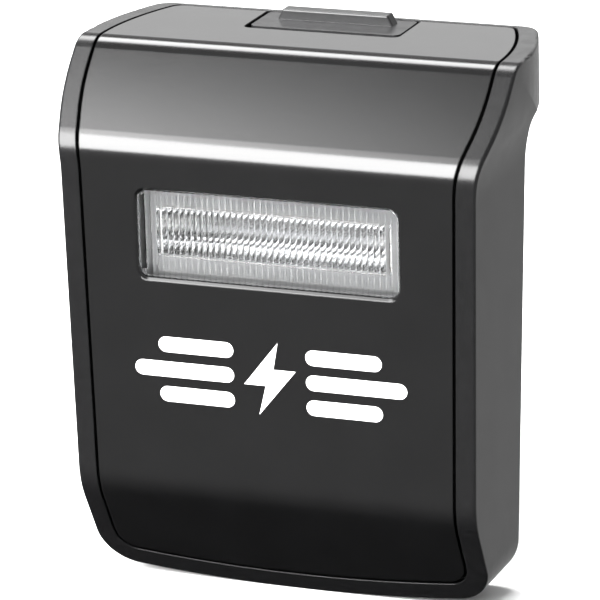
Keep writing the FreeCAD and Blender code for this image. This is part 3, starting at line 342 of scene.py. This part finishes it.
# The mark's own unit is a tenth of its height, measured from its middle.
PRINT_UNIT = (PRINT_HIGH - PRINT_LOW) / 10
BOLT = ((1.2, 5), (-3.6, -1.0), (-0.6, -1.0), (-1.6, -5), (3.6, 1.3), (0.5, 1.3))
BAR_START, BAR_HALF_HEIGHT = 5.0, 1.05
BAR_ROWS = ((3.4, 15.5), (0.0, 18.9), (-3.4, 15.5))


def slab(mesh, corners, face_y):
    """One printed shape, as a closed slab that stands a hair in front of the face."""
    back = [mesh.verts.new((x, face_y + PRINT_LIFT, z)) for x, z in corners]
    front = [mesh.verts.new((x, face_y - PRINT_LIFT, z)) for x, z in corners]
    mesh.faces.new(front)
    mesh.faces.new(back[::-1])
    count = len(corners)
    for i in range(count):
        j = (i + 1) % count
        mesh.faces.new((front[j], front[i], back[i], back[j]))


def rounded_bar(left, right, middle, half, steps=10):
    """The outline of a bar with half-round ends."""
    arc = [math.pi * (i / steps - 0.5) for i in range(steps + 1)]
    right_end = [(right - half + half * math.cos(a), middle + half * math.sin(a)) for a in arc]
    left_end = [(left + half - half * math.cos(a), middle - half * math.sin(a)) for a in arc]
    return right_end + left_end


def printed_mark():
    """A generic lightning bolt between two sets of three plain bars."""
    face_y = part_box("front_panel")[0].y
    mesh = bmesh.new()
    slab(mesh, [(x * PRINT_UNIT, PRINT_MIDDLE + z * PRINT_UNIT) for x, z in BOLT], face_y)
    for side in (-1, 1):
        for row, reach in BAR_ROWS:
            left, right = sorted((side * BAR_START * PRINT_UNIT, side * reach * PRINT_UNIT))
            middle = PRINT_MIDDLE + row * PRINT_UNIT
            slab(mesh, rounded_bar(left, right, middle, BAR_HALF_HEIGHT * PRINT_UNIT), face_y)
    bmesh.ops.recalc_face_normals(mesh, faces=mesh.faces)
    data = bpy.data.meshes.new("printed_mark")
    mesh.to_mesh(data)
    mesh.free()
    data.materials.append(MATERIALS["connector_white"])
    mark = bpy.data.objects.new("printed_mark", data)
    bpy.context.collection.objects.link(mark)
    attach(mark, "housing")


printed_mark()

# ---------------------------------------------------------------- reflector mouth

MOUTH_WIDTH, MOUTH_HEIGHT, MOUTH_CORNER = 31.6 * MM, 6.6 * MM, 0.8 * MM
BEAD_RADIUS = 0.11 * MM
CORNER_STEPS = 6


def mouth_outline(middle):
    """Points (x, z) round a rectangle with rounded corners, centred at height middle."""
    points = []
    for turn, (sign_x, sign_z) in enumerate(((1, 1), (-1, 1), (-1, -1), (1, -1))):
        corner_x = sign_x * (MOUTH_WIDTH / 2 - MOUTH_CORNER)
        corner_z = middle + sign_z * (MOUTH_HEIGHT / 2 - MOUTH_CORNER)
        for i in range(CORNER_STEPS + 1):
            angle = math.pi / 2 * (turn + i / CORNER_STEPS)
            x = corner_x + MOUTH_CORNER * math.cos(angle)
            z = corner_z + MOUTH_CORNER * math.sin(angle)
            points.append((x, z))
    return points


def mouth_bead():
    """The folded edge round the reflector's mouth: a thin dark bead between the lens and the sheet."""
    lens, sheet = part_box("flash_lens"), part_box("reflector")
    points = mouth_outline((lens[0].z + lens[1].z) / 2)
    curve = bpy.data.curves.new("mouth_bead", "CURVE")
    curve.dimensions = "3D"
    curve.bevel_depth = BEAD_RADIUS
    curve.bevel_resolution = 4
    spline = curve.splines.new("POLY")
    spline.points.add(len(points) - 1)
    for point, (x, z) in zip(spline.points, points):
        point.co = (x, sheet[0].y - 1.2 * BEAD_RADIUS, z, 1)
    spline.use_cyclic_u = True
    curve.materials.append(MATERIALS["electrode_metal"])
    bead = bpy.data.objects.new("mouth_bead", curve)
    bpy.context.collection.objects.link(bead)
    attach(bead, "housing")


mouth_bead()

# ---------------------------------------------------------------- camera

AZIMUTH, ELEVATION, ROLL = math.radians(21.725), math.radians(17.711), math.radians(-1.694)
DISTANCE = 590.1 * MM
AIM = (4.508 * MM, 0.0, 43.143 * MM)
LENS = 276


def camera():
    """Looks at a point just in front of the face, from the object's front right, a little above."""
    face = Vector((0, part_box("front_panel")[0].y, 0))
    aim = Vector(AIM) + face
    back = Vector((math.sin(AZIMUTH) * math.cos(ELEVATION), -math.cos(AZIMUTH) * math.cos(ELEVATION),
                   math.sin(ELEVATION)))
    right = Vector((math.cos(AZIMUTH), math.sin(AZIMUTH), 0))
    up = back.cross(right)
    turned_right = right * math.cos(ROLL) + up * math.sin(ROLL)
    turned_up = up * math.cos(ROLL) - right * math.sin(ROLL)
    data = bpy.data.cameras.new("camera")
    data.sensor_width, data.lens = 36, LENS
    eye = bpy.data.objects.new("camera", data)
    bpy.context.collection.objects.link(eye)
    axes = Matrix((turned_right, turned_up, back)).transposed()
    eye.matrix_world = Matrix.Translation(aim + back * DISTANCE) @ axes.to_4x4()
    bpy.context.scene.camera = eye


camera()
bpy.context.scene.view_settings.view_transform = "Standard"
